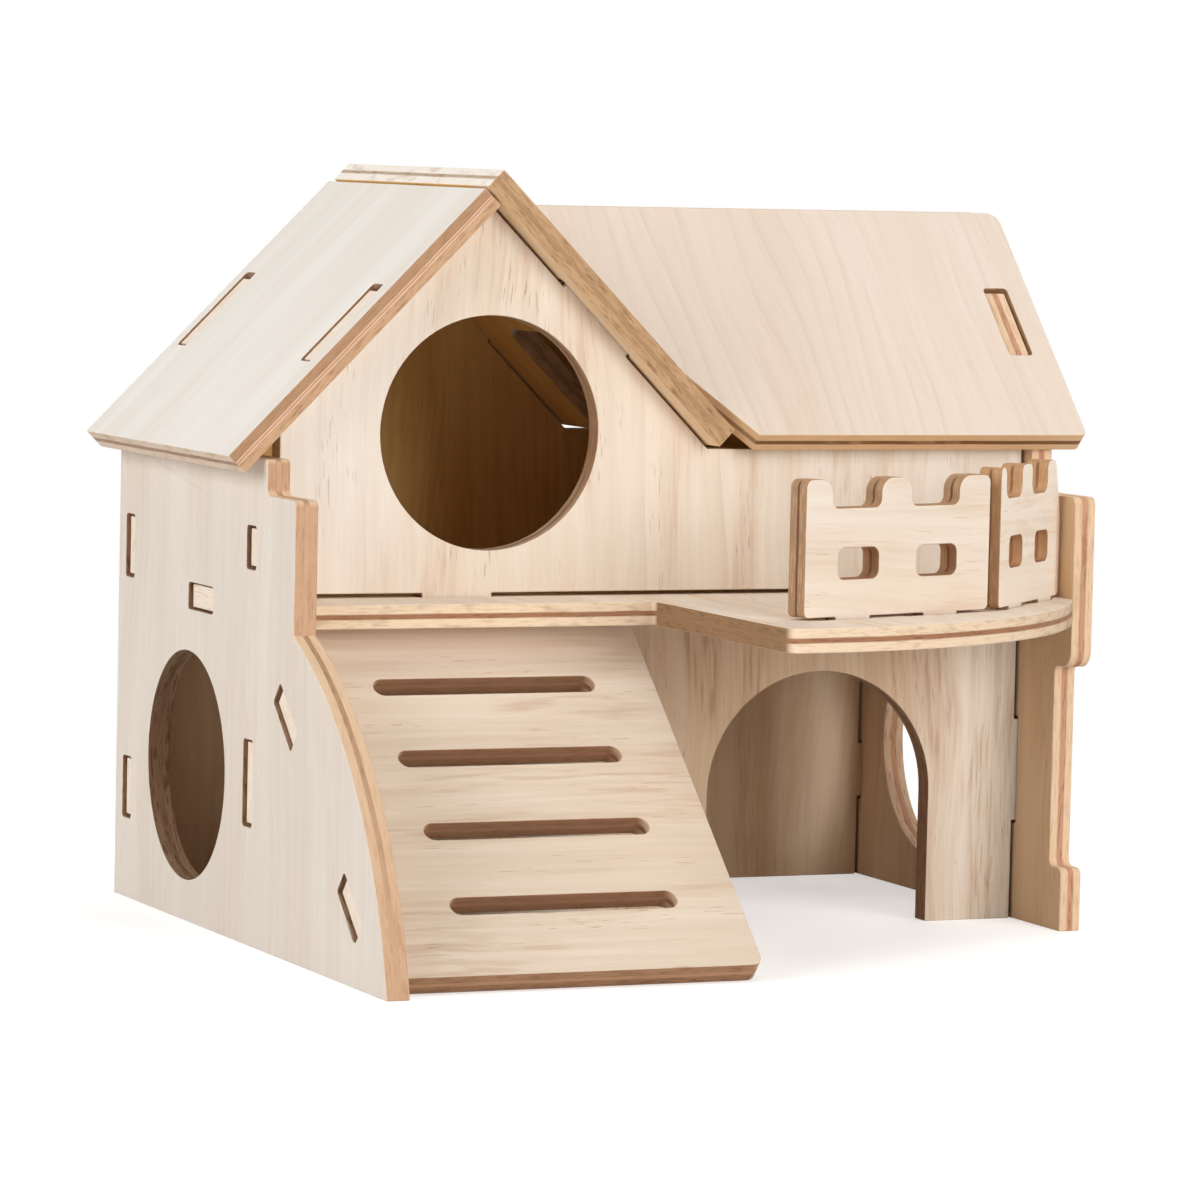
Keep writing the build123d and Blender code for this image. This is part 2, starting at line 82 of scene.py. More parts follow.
class Graph:
    # the node tree of a material, of the world or of a Geometry Nodes group
    def __init__(self, tree):
        self.tree = tree
        self.tree.nodes.clear()

    def add(self, kind, settings=None, sockets=None, output=0):
        node = self.tree.nodes.new(kind)
        for name, value in (settings or {}).items():
            if name == "items":
                while len(node.index_switch_items) < value:
                    node.index_switch_items.new()
            else:
                setattr(node, name, value)
        for key, value in (sockets or {}).items():
            for part in value if isinstance(value, list) else [value]:
                if isinstance(part, Socket):
                    self.tree.links.new(part.link, node.inputs[key])
                else:
                    node.inputs[key].default_value = part
        if not node.outputs:
            return node
        return Socket(self, node.outputs[output])

    def math(self, operation, *values, clamp=False):
        settings = {"operation": operation, "use_clamp": clamp}
        return self.add("ShaderNodeMath", settings, dict(enumerate(values)))

    def clamp(self, value):
        return self.math("ADD", value, 0.0, clamp=True)

    def fract(self, value):
        return self.math("FRACT", value)

    def step(self, value, low, high):
        sockets = {"Value": value, "From Min": low, "From Max": high}
        return self.add("ShaderNodeMapRange", {"interpolation_type": "SMOOTHSTEP"}, sockets)

    def mix(self, factor, first, second, blend="MIX"):
        # the colour sockets of a Mix node are inputs 6 and 7 and output 2
        settings = {"data_type": "RGBA", "blend_type": blend, "clamp_factor": True}
        return self.add("ShaderNodeMix", settings, {0: factor, 6: first, 7: second}, 2)

    def along(self, vector, direction, scale=1.0):
        # distance along a direction
        sockets = {0: vector, 1: tuple(Vector(direction).normalized() * scale)}
        return self.add("ShaderNodeVectorMath", {"operation": "DOT_PRODUCT"}, sockets, "Value")

    def combine(self, x, y, z):
        return self.add("ShaderNodeCombineXYZ", None, {0: x, 1: y, 2: z})

    def noise(self, x, y, z, detail=2.0, roughness=0.5):
        sockets = {
            "Vector": self.combine(x, y, z), "Scale": 1.0, "Detail": detail,
            "Roughness": roughness,
        }
        return self.add("ShaderNodeTexNoise", None, sockets)

    def grain(self, u, v, size, seed, detail=2.0, roughness=0.5):
        # noise drawn out along the grain
        return self.noise(u / size[0], v / size[1], seed, detail, roughness)

    def attribute(self, name):
        return self.add("ShaderNodeAttribute", {"attribute_name": name}, None, "Fac")


# Plywood. Lengths in millimetres; face and grain are directions of each sheet, and inner says
# which of its faces looks into the house, which gets painted shade. A band is painted light where
# its tint is above 1 and painted shade where it is below: where it begins, is full, fades and ends
# across the grain, and its tint. The arch is the low and the high corner of the door's opening, in
# metres, whose jamb gets char and painted shade.
veneer = {
    "pale": linear(243, 231, 217),
    "warm": linear(231, 212, 191),
    "inner": 0,
    # painted shade of the inner faces: below the deck, in the attic, and outside these
    "roomShadeTint": linear(236, 215, 190),
    "atticShadeTint": linear(255, 226, 160),
    "openShadeTint": linear(246, 230, 206),
    "broad": 1.1,
    "broadWidth": 15.0,
    "streak": 1.1,
    "streakWidth": 2.6,
    "fibre": 0.6,
    "wander": 7.0,
    "slant": 0.0,
    "ringColour": linear(212, 184, 158),
    "ringSpace": 8.0,
    "ringSway": 1.2,
    "ringDepth": 0.3,
    "zoneWidth": 11.0,
    "figureColour": linear(218, 188, 160),
    "figureDepth": 0.6,
    "fleckColour": linear(170, 130, 98),
    "fleckDepth": 0.5,
    "lightAndShadeBands": (),
    "lightAndShadeInside": 0.0,
    "doorCharAndShade": 0.6,
    "coreLine": 0.0,
    "arch": None,
    "outerEnd": linear(240, 214, 184),
    "outerSide": linear(206, 168, 130),
    "lowerSide": None,
    "sideStreak": linear(158, 116, 80),
    "sideDepth": 0.55,
    "coreEnd": linear(168, 118, 86),
    "coreSide": linear(222, 188, 156),
    "coreShow": 0.25,
    "coreHalf": 0.11,
    "endEverywhere": 0.0,
    "endDepth": 0.4,
    "glueDepth": 0.2,
    # laser char together with painted shade of the recesses in slots, doors and the arch
    "charAndShadeColour": linear(128, 88, 62),
    "charAndShadeDepth": 0.85,
    "seed": 0.0,
}

gableLean = math.radians(45)
mainLean = math.radians(45.8)
rampLean = math.radians(41.65)
frontRailTurn = math.radians(17.7)
sideRailTurn = math.radians(45.5)
upright = (0, 0, 1)

sheets = {
    "left_wall": {
        "face": (1, 0, 0), "grain": upright, "seed": 1.7, "inner": 1,
        "pale": linear(236, 226, 215), "warm": linear(224, 210, 196),
        "fleckColour": linear(186, 160, 138), "fleckDepth": 0.25, "figureDepth": 0.25,
        "streakWidth": 2.0, "ringDepth": 0.1, "coreShow": 0.1, "coreEnd": linear(176, 138, 106),
        "outerEnd": linear(220, 190, 158), "outerSide": linear(205, 164, 131),
        "sideDepth": 0.5, "charAndShadeColour": linear(118, 80, 52), "glueDepth": 0.1, "doorCharAndShade": 0.95,
    },
    "right_wall": {
        "face": (1, 0, 0), "grain": upright, "seed": 23.1, "inner": -1, "endEverywhere": 1.0,
        "coreHalf": 0.13, "coreEnd": linear(208, 154, 121), "outerEnd": linear(236, 203, 170),
        "endDepth": 0.5,
    },
    "front_wall_lower": {
        "face": (0, 1, 0), "grain": upright, "seed": 41.9, "inner": 1,
        "pale": linear(244, 232, 219), "warm": linear(224, 201, 178),
        "streakWidth": 1.7, "streak": 2.0, "figureColour": linear(192, 156, 124),
        "fleckColour": linear(146, 110, 82), "fleckDepth": 0.6, "figureDepth": 0.7,
        # painted shade on the left and middle below the balcony, painted light on the right part
        "lightAndShadeBands": (
            (-14, 0, 44, 60, linear(230, 213, 193)), (56, 70, 90, 99, (1.08, 1.17, 1.21, 1)),
        ),
        "arch": ((0.009, 0.0005), (0.053, 0.046)),
    },
    "front_wall_upper": {
        "face": (0, 1, 0), "grain": upright, "seed": 57.3, "inner": 1,
        "fleckDepth": 0.6, "figureDepth": 0.6,
        # painted light on the left part and on the right part under the eave
        "lightAndShadeBands": (
            (-90, -80, -54, -34, (1.04, 1.09, 1.16, 1)), (14, 34, 90, 99, (1.08, 1.17, 1.27, 1)),
        ),
    },
    "back_wall": {
        "face": (0, 1, 0), "grain": upright, "seed": 71.2, "inner": -1,
        "broad": 1.3, "broadWidth": 10.0, "streak": 1.5, "streakWidth": 3.0,
        "pale": linear(243, 231, 217), "warm": linear(226, 205, 182),
        # painted light on the inner face: the patch lit through the arch, and a lighter left part
        "lightAndShadeBands": (
            (49, 54, 90, 99, (1.24, 1.38, 1.56, 1)), (-90, -80, -52, -38, (1.22, 1.24, 1.26, 1)),
        ),
        "lightAndShadeInside": 1.0,
    },
    "deck": {
        "face": upright, "grain": (0, 1, 0), "seed": 83.5,
        "outerSide": linear(154, 120, 88), "coreSide": linear(160, 124, 90),
        "sideStreak": linear(116, 84, 56), "sideDepth": 0.75, "coreHalf": 0.1,
    },
    "ramp": {
        "face": (0, -math.sin(rampLean), math.cos(rampLean)), "grain": (1, 0, 0), "seed": 97.4,
        "pale": linear(229, 213, 195), "warm": linear(213, 192, 169), "wander": 3.0,
        "figureColour": linear(190, 156, 126), "figureDepth": 0.5, "streakWidth": 1.8,
        "streak": 1.4, "fleckDepth": 0.6,
        "outerSide": linear(174, 134, 102), "coreSide": linear(206, 160, 124), "coreShow": 0.5,
        "sideStreak": linear(120, 82, 54), "sideDepth": 0.75,
        "charAndShadeColour": linear(172, 122, 90), "charAndShadeDepth": 0.4,
        # painted light on the upper part of the ramp, in the ledge's shade
        "lightAndShadeBands": ((2, 26, 60, 70, (1.16, 1.18, 1.22, 1)),),
    },
    "gable_roof_left": {
        "face": (-math.sin(gableLean), 0, math.cos(gableLean)),
        "grain": (-math.cos(gableLean), 0, -math.sin(gableLean)), "seed": 113.8, "inner": -1,
        "pale": linear(245, 238, 230), "warm": linear(236, 227, 215), "coreShow": 0.8,
        "broad": 1.8, "broadWidth": 9.0, "streak": 0.5, "fibre": 0.45, "slant": 0.05,
        "ringDepth": 0.1, "fleckDepth": 0.1, "figureDepth": 0.15,
        "outerSide": linear(184, 144, 110), "lowerSide": linear(210, 170, 134),
        "coreSide": linear(240, 202, 172), "sideDepth": 0.75, "glueDepth": 0.2,
        "coreHalf": 0.1, "coreLine": 0.75,
        "outerEnd": linear(228, 208, 188), "coreEnd": linear(178, 146, 126),
        "charAndShadeColour": linear(158, 116, 84), "charAndShadeDepth": 0.8,
    },
    "gable_roof_right": {
        "face": (math.sin(gableLean), 0, math.cos(gableLean)),
        "grain": (math.cos(gableLean), 0, -math.sin(gableLean)), "seed": 129.1, "inner": -1,
        "coreShow": 0.5, "coreSide": linear(156, 118, 82), "sideDepth": 0.85,
        "outerSide": linear(197, 159, 119), "outerEnd": linear(252, 242, 230),
        "coreEnd": linear(198, 174, 148), "coreHalf": 0.08, "endDepth": 0.1,
        "sideStreak": linear(132, 96, 62),
    },
    "main_roof_front": {
        "face": (0, -math.sin(mainLean), math.cos(mainLean)),
        "grain": (0, math.cos(mainLean), math.sin(mainLean)), "seed": 147.6, "inner": -1,
        "pale": linear(233, 218, 204), "warm": linear(224, 205, 188), "slant": 0.04,
        "coreEnd": linear(124, 86, 52), "outerEnd": linear(218, 182, 142), "figureDepth": 0.15,
        "fleckDepth": 0.15, "streak": 1.0, "ringSpace": 4.2, "ringDepth": 0.36,
        "ringSway": 2.4, "ringColour": linear(208, 187, 168),
    },
    "main_roof_back": {
        "face": (0, math.sin(mainLean), math.cos(mainLean)),
        "grain": (0, -math.cos(mainLean), math.sin(mainLean)), "seed": 163.3, "inner": -1,
        "pale": linear(237, 224, 208), "warm": linear(228, 211, 192), "slant": -0.05,
        "coreEnd": linear(124, 86, 52), "outerEnd": linear(218, 182, 142), "figureDepth": 0.2,
        "fleckDepth": 0.15, "ringSpace": 6.0, "ringDepth": 0.45,
        "ringColour": linear(211, 190, 168),
    },
    "railing_front": {
        "face": (math.sin(frontRailTurn), -math.cos(frontRailTurn), 0),
        "grain": (math.cos(frontRailTurn), math.sin(frontRailTurn), 0), "seed": 181.7,
        "outerEnd": linear(164, 131, 100), "coreEnd": linear(110, 77, 51), "coreHalf": 0.06,
        "pale": linear(245, 233, 221), "figureDepth": 0.4, "fleckDepth": 0.3, "endDepth": 0.6,
        "charAndShadeColour": linear(160, 104, 66), "charAndShadeDepth": 0.35, "outerSide": linear(186, 144, 104),
        "sideDepth": 0.7,
    },
    "railing_side": {
        "face": (math.sin(sideRailTurn), -math.cos(sideRailTurn), 0),
        "grain": (math.cos(sideRailTurn), math.sin(sideRailTurn), 0), "seed": 197.2,
        "outerEnd": linear(180, 138, 99), "coreEnd": linear(136, 96, 64), "coreHalf": 0.06,
        "pale": linear(248, 237, 225), "warm": linear(238, 220, 200),
        "figureDepth": 0.4, "fleckDepth": 0.3, "endDepth": 0.6,
        "charAndShadeColour": linear(160, 104, 66), "charAndShadeDepth": 0.35, "outerSide": linear(186, 144, 104),
        "sideDepth": 0.7,
    },
}
sheetThickness = 4.0

# The figure of a face: lengths along and across the grain, in millimetres, and the noise values
# between which a part of the figure comes in
figure = {
    "wander": (80, 36),
    "broadLength": 90,
    "streakLength": 70,
    "fibre": (14, 0.6),
    "ringPower": 5,
    "ringStreak": 0.3,
    "ringSway": (60, 20),
    "ringPatch": (50, 12),
    "ringRange": (0.36, 0.62),
    "zoneLength": 55,
    "zoneRange": (0.48, 0.62),
    "line": (11, 0.9),
    "lineRange": (0.44, 0.68),
    "lineShare": 0.75,
    "fleck": (4.5, 0.3),
    "fleckRange": (0.62, 0.76),
    "fleckPatch": (24, 5),
    "fleckPatchRange": (0.5, 0.64),
    "fleckShare": 0.9,
}


def faceVeneer(graph, wood, u, v, lightAndShadeShare):
    # one face of a sheet: soft bands, streaks, growth lines, figured zones, pores and the fibre,
    # and bands of painted light and painted shade
    seed = wood["seed"]
    place = v
    v = v + (graph.grain(u, v, figure["wander"], seed, 1) - 0.5) * (2 * wood["wander"])
    broad = graph.grain(u, v, (figure["broadLength"], wood["broadWidth"]), seed + 3, 1)
    streak = graph.grain(u, v, (figure["streakLength"], wood["streakWidth"]), seed + 5, 3, 0.6)
    fibre = graph.grain(u, v, figure["fibre"], seed + 7, 2, 0.6)
    tone = (broad - 0.5) * wood["broad"] + (streak - 0.5) * wood["streak"]
    tone = graph.clamp(0.5 + tone + (fibre - 0.5) * wood["fibre"])
    colour = graph.mix(tone, wood["pale"], wood["warm"])
    sway = graph.grain(u, v, figure["ringSway"], seed + 11, 1)
    lines = v / wood["ringSpace"] + sway * wood["ringSway"]
    ring = graph.fract(lines + (streak - 0.5) * figure["ringStreak"]) ** figure["ringPower"]
    patch = graph.grain(u, v, figure["ringPatch"], seed + 17, 1)
    shown = graph.step(patch, *figure["ringRange"])
    colour = graph.mix(ring * shown * wood["ringDepth"], colour, wood["ringColour"])
    zone = graph.grain(u, v, (figure["zoneLength"], wood["zoneWidth"]), seed + 21, 1)
    zone = graph.step(zone, *figure["zoneRange"])
    line = graph.step(graph.grain(u, v, figure["line"], seed + 19, 2), *figure["lineRange"])
    figured = zone * (1 - figure["lineShare"] + figure["lineShare"] * line) * wood["figureDepth"]
    colour = graph.mix(figured, colour, wood["figureColour"])
    fleck = graph.step(graph.grain(u, v, figure["fleck"], seed + 23, 1), *figure["fleckRange"])
    patch = graph.grain(u, v, figure["fleckPatch"], seed + 29, 1)
    patch = graph.step(patch, *figure["fleckPatchRange"])
    shown = 1 - figure["fleckShare"] + figure["fleckShare"] * patch
    colour = graph.mix(fleck * shown * wood["fleckDepth"], colour, wood["fleckColour"])
    # painted light and painted shade, multiplied onto the veneer
    for begin, full, fade, end, paintedTint in wood["lightAndShadeBands"]:
        depth = graph.step(place, begin, full) * (1 - graph.step(place, fade, end)) * lightAndShadeShare
        colour = graph.mix(depth, colour, graph.mix(1.0, colour, paintedTint, "MULTIPLY"))
    return colour, fibre


# The cut edges: lengths in millimetres, places in the sheet as shares of its thickness from the
# middle, and the noise values between which fibres and blotches come in
cutEdge = {
    "wobbleLength": 9,
    "wobbleDepth": 0.05,
    "coreSoft": 0.02,
    "glueIn": (-0.03, 0.005),
    "glueOut": (0.01, 0.05),
    "glueColour": linear(132, 90, 62),
    "fibreLength": 3.2,
    "fibreThickness": 0.34,
    "fibreRange": (0.5, 0.66),
    "blotchLength": 6,
    "blotchThickness": 2.4,
    "endBlotchRange": (0.5, 0.72),
    "endBlotchDepth": 0.35,
    "sideBlotchRange": (0.4, 0.7),
    "sideBlotchDepth": 0.3,
    "endFibreColour": linear(206, 166, 126),
    "coreFibreColour": linear(120, 78, 50),
    "coreFibreDepth": 0.5,
    "plySoft": 0.1,
    "lineRange": (0.02, 0.05),
    "lineColour": linear(184, 138, 110),
    "coreClean": 0.6,
    "crossRange": (0.1, 0.95),
    "tabColour": linear(247, 230, 212),
    "tabFibreColour": linear(224, 192, 164),
    "tabFibreDepth": 0.6,
}


def sheetEdge(graph, wood, u, v, w, crossCut):
    # a cut edge: two thick plies with a thin one between them, glue lines and short dark fibres
    seed = wood["seed"]
    wobble = graph.grain(u, v, (cutEdge["wobbleLength"], cutEdge["wobbleLength"]), seed + 31, 1)
    middle = abs(w / sheetThickness + (wobble - 0.5) * cutEdge["wobbleDepth"] - 0.5)
    half = wood["coreHalf"]
    core = 1 - graph.step(middle, half - cutEdge["coreSoft"], half + cutEdge["coreSoft"])
    glue = graph.step(middle, *(half + place for place in cutEdge["glueIn"]))
    glue = glue * (1 - graph.step(middle, *(half + place for place in cutEdge["glueOut"])))
    length = cutEdge["fibreLength"]
    dash = graph.noise(u / length, v / length, w / cutEdge["fibreThickness"] + seed, 2, 0.6)
    length = cutEdge["blotchLength"]
    blotch = graph.noise(u / length, v / length, w / cutEdge["blotchThickness"] + seed, 2, 0.6)
    fibres = graph.step(dash, *cutEdge["fibreRange"])

    # across the grain
    depth = fibres * wood["endDepth"]
    endFibres = graph.mix(depth, wood["outerEnd"], cutEdge["endFibreColour"])
    depth = fibres * cutEdge["coreFibreDepth"]
    coreFibres = graph.mix(depth, wood["coreEnd"], cutEdge["coreFibreColour"])
    endColour = graph.mix(core, endFibres, coreFibres)
    depth = graph.step(blotch, *cutEdge["endBlotchRange"]) * cutEdge["endBlotchDepth"]
    endColour = graph.mix(depth, endColour, wood["outerSide"])

    # along the grain
    sideColour = wood["outerSide"]
    if wood["lowerSide"]:
        half = sheetThickness / 2
        upper = graph.step(w, half - cutEdge["plySoft"], half + cutEdge["plySoft"])
        sideColour = graph.mix(upper, wood["lowerSide"], wood["outerSide"])
    sideColour = graph.mix(core * wood["coreShow"], sideColour, wood["coreSide"])
    if wood["coreLine"]:
        line = (1 - graph.step(middle, *cutEdge["lineRange"])) * wood["coreLine"]
        sideColour = graph.mix(line, sideColour, cutEdge["lineColour"])
    blotches = graph.step(blotch, *cutEdge["sideBlotchRange"])
    share = cutEdge["sideBlotchDepth"]
    dark = (share * blotches + (1 - share) * fibres) * wood["sideDepth"]
    clean = 1 - cutEdge["coreClean"] * core
    sideColour = graph.mix(dark * clean, sideColour, wood["sideStreak"])

    edge = graph.mix(graph.step(crossCut, *cutEdge["crossRange"]), sideColour, endColour)
    return graph.mix(glue * wood["glueDepth"], edge, cutEdge["glueColour"]), fibres


# Where the painted shade of the inner faces changes between rooms, in millimetres, and how a face
# differs from an edge
paintedShadeRooms = {
    "deck": (54, 58),
    "front": (-2, 1),
    "back": (61, 64),
    "side": (70, 73),
}
surface = {
    "flatRange": (0.5, 0.6),
    "sideRange": (-0.1, 0.1),
    "underShift": 53,
    "charShadeBase": 0.8,
    "charShadeFibres": 0.4,
    "bumpStrength": 0.3,
    "bumpDistance": 0.0001,
    "roughness": 0.6,
    "fibreRoughness": 0.25,
    "specular": 0.25,
}


def plywood(name, wood, depthStart):
    material = bpy.data.materials.new(name)
    material.use_nodes = True
    graph = Graph(material.node_tree)
    face = Vector(wood["face"]).normalized()
    grain = Vector(wood["grain"]).normalized()
    point = graph.add("ShaderNodeTexCoord", None, None, "Object")
    normal = graph.add("ShaderNodeTexCoord", None, None, "Normal")
    v = graph.along(point, face.cross(grain), 1000)
    u = graph.along(point, grain, 1000) + v * wood["slant"]
    w = graph.along(point, face, 1000) - depthStart
    facing = graph.along(normal, face)
    flat = graph.step(abs(facing), *surface["flatRange"])
    side = graph.step(facing, *surface["sideRange"])
    inward = side if wood["inner"] > 0 else 1 - side
    # the painted light and shade bands keep to the inner face by this share
    lightAndShadeShare = 1 - (1 - inward) * wood["lightAndShadeInside"]
    colour, fibre = faceVeneer(graph, wood, u + side * surface["underShift"], v, lightAndShadeShare)
    # inner faces get painted shade: a darker, warmer tint below the deck, in the attic and outside
    # them
    if wood["inner"]:
        across = abs(graph.along(point, (1, 0, 0), 1000))
        deep = graph.along(point, (0, 1, 0), 1000)
        above = graph.step(graph.along(point, upright, 1000), *paintedShadeRooms["deck"])
        within = graph.step(deep, *paintedShadeRooms["front"]) * (1 - graph.step(deep, *paintedShadeRooms["back"]))
        within = within * (1 - graph.step(across, *paintedShadeRooms["side"]))
        paintedTint = graph.mix(within, wood["openShadeTint"], wood["atticShadeTint"])
        paintedTint = graph.mix(above, wood["roomShadeTint"], paintedTint)
        colour = graph.mix(inward, colour, graph.mix(1.0, colour, paintedTint, "MULTIPLY"))
    crossCut = graph.clamp(abs(graph.along(normal, grain)) + wood["endEverywhere"])
    edge, fibres = sheetEdge(graph, wood, u, v, w, crossCut)
    # laser char darkened further with painted shade on slot walls, door rims and the arch's jamb
    charShadeAmount = graph.attribute("cut") * wood["charAndShadeDepth"]
    charShadeAmount = charShadeAmount * (surface["charShadeBase"] + surface["charShadeFibres"] * fibres)
    edge = graph.mix(charShadeAmount, edge, wood["charAndShadeColour"])
    depth = fibres * cutEdge["tabFibreDepth"]
    tabColour = graph.mix(depth, cutEdge["tabColour"], cutEdge["tabFibreColour"])
    edge = graph.mix(graph.attribute("tabEnd"), edge, tabColour)
    colour = graph.mix(flat, edge, colour)
    bump = graph.add(
        "ShaderNodeBump", None,
        {
            "Strength": surface["bumpStrength"], "Distance": surface["bumpDistance"],
            "Height": fibre * flat,
        },
    )
    sockets = {
        "Base Color": colour,
        "Roughness": surface["roughness"] + fibre * surface["fibreRoughness"],
        "Normal": bump,
        "Specular IOR Level": surface["specular"],
    }
    shader = graph.add("ShaderNodeBsdfPrincipled", None, sockets)
    graph.add("ShaderNodeOutputMaterial", None, {"Surface": shader})
    return material


# Easing of the sheets' arrises, in metres and radians, and how their faces are told apart
easing = {
    "width": 0.0002,
    "segments": 2,
    "angle": math.radians(40),
    "smooth": math.radians(20),
    "mergeDistance": 1e-6,
    "flatAngle": math.radians(0.2),
    "edgeFacing": 0.5,
    "endFacing": 0.9,
    "slotPerimeter": 0.1,  # a longer way round is a door
}


def ease(piece):
    # bevel the arrises, leave a plain mesh and drop the modifier
    bevel = piece.modifiers.new("bevel", "BEVEL")
    bevel.width = easing["width"]
    bevel.segments = easing["segments"]
    bevel.limit_method = "ANGLE"
    bevel.angle_limit = easing["angle"]
    bevel.use_clamp_overlap = False
    makePlain(piece)
    piece.data.shade_smooth()
    piece.data.set_sharp_from_angle(angle=easing["smooth"])


def makePlain(piece):
    evaluated = piece.evaluated_get(bpy.context.evaluated_depsgraph_get())
    mesh = bpy.data.meshes.new_from_object(evaluated)
    piece.modifiers.clear()
    piece.data = mesh


def joinFaces(mesh):
    # loose triangles become the few flat faces that a sheet has
    tool = bmesh.new()
    tool.from_mesh(mesh)
    bmesh.ops.remove_doubles(tool, verts=tool.verts, dist=easing["mergeDistance"])
    bmesh.ops.dissolve_limit(
        tool, angle_limit=easing["flatAngle"], verts=tool.verts, edges=tool.edges,
    )
    tool.to_mesh(mesh)
    tool.free()


def contours(tool, face):
    # the edge faces of a sheet, grouped by the outline or hole that they go round
    left = {part for part in tool.faces if abs(part.normal.dot(face)) < easing["edgeFacing"]}
    groups = []
    while left:
        queue = [left.pop()]
        group = []
        while queue:
            part = queue.pop()
            group.append(part)
            for edge in part.edges:
                for other in edge.link_faces:
                    if other in left:
                        left.remove(other)
                        queue.append(other)
        groups.append(group)
    return groups


def markEdges(piece, look, tabEnds):
    # the cut mark, laser char with painted shade of the recess, is 1 round a slot and on the arch's
    # jamb and less round a door, and tabEnd is 1 on the end of a tab
    face = Vector(look["face"]).normalized()
    tool = bmesh.new()
    tool.from_mesh(piece.data)
    cut = tool.faces.layers.float.new("cut")
    tabEnd = tool.faces.layers.float.new("tabEnd")
    groups = contours(tool, face)
    sizes = [sum(part.calc_area() for part in group) for group in groups]
    for group, size in zip(groups, sizes):
        if size == max(sizes):
            continue
        narrow = size < easing["slotPerimeter"] * sheetThickness / 1000  # by area of the walls
        for part in group:
            part[cut] = 1.0 if narrow else look["doorCharAndShade"]
    # the arch's jamb, in shade under the deck, gets full char and painted shade
    if look["arch"]:
        low, high = look["arch"]
        for part in tool.faces:
            place = part.calc_center_median()
            if low[0] < place.x < high[0] and low[1] < place.z < high[1]:
                part[cut] = 1.0
    for direction, reach in tabEnds:
        direction = Vector(direction).normalized()
        for part in tool.faces:
            outer = part.calc_center_median().dot(direction) > reach
            if outer and part.normal.dot(direction) > easing["endFacing"]:
                part[tabEnd] = 1.0
    tool.to_mesh(piece.data)
    tool.free()


# The ramp, in metres and radians, made by Geometry Nodes
rampSteps = {"corner": 8, "slotEnd": 10}
rampSizes = {
    "Width": 0.0628,
    "Thickness": 0.004,
    "Rise": 0.054,
    "Lean": rampLean,
    "Wall Gap": 0.002,
    "Left Edge": -0.0695,
    "Corner Radius": 0.002,
    "Slot Count": 4,
    "Slot Length": 0.0397,
    "Slot Width": 0.0036,
    "Slot Start": 0.0122,
    "Slot Pitch": 0.0159,
    "Tab Length": 0.0102,
    "Tab Depth": 0.0033,
    "First Tab": 0.01655,
    "Second Tab": 0.0578,
}


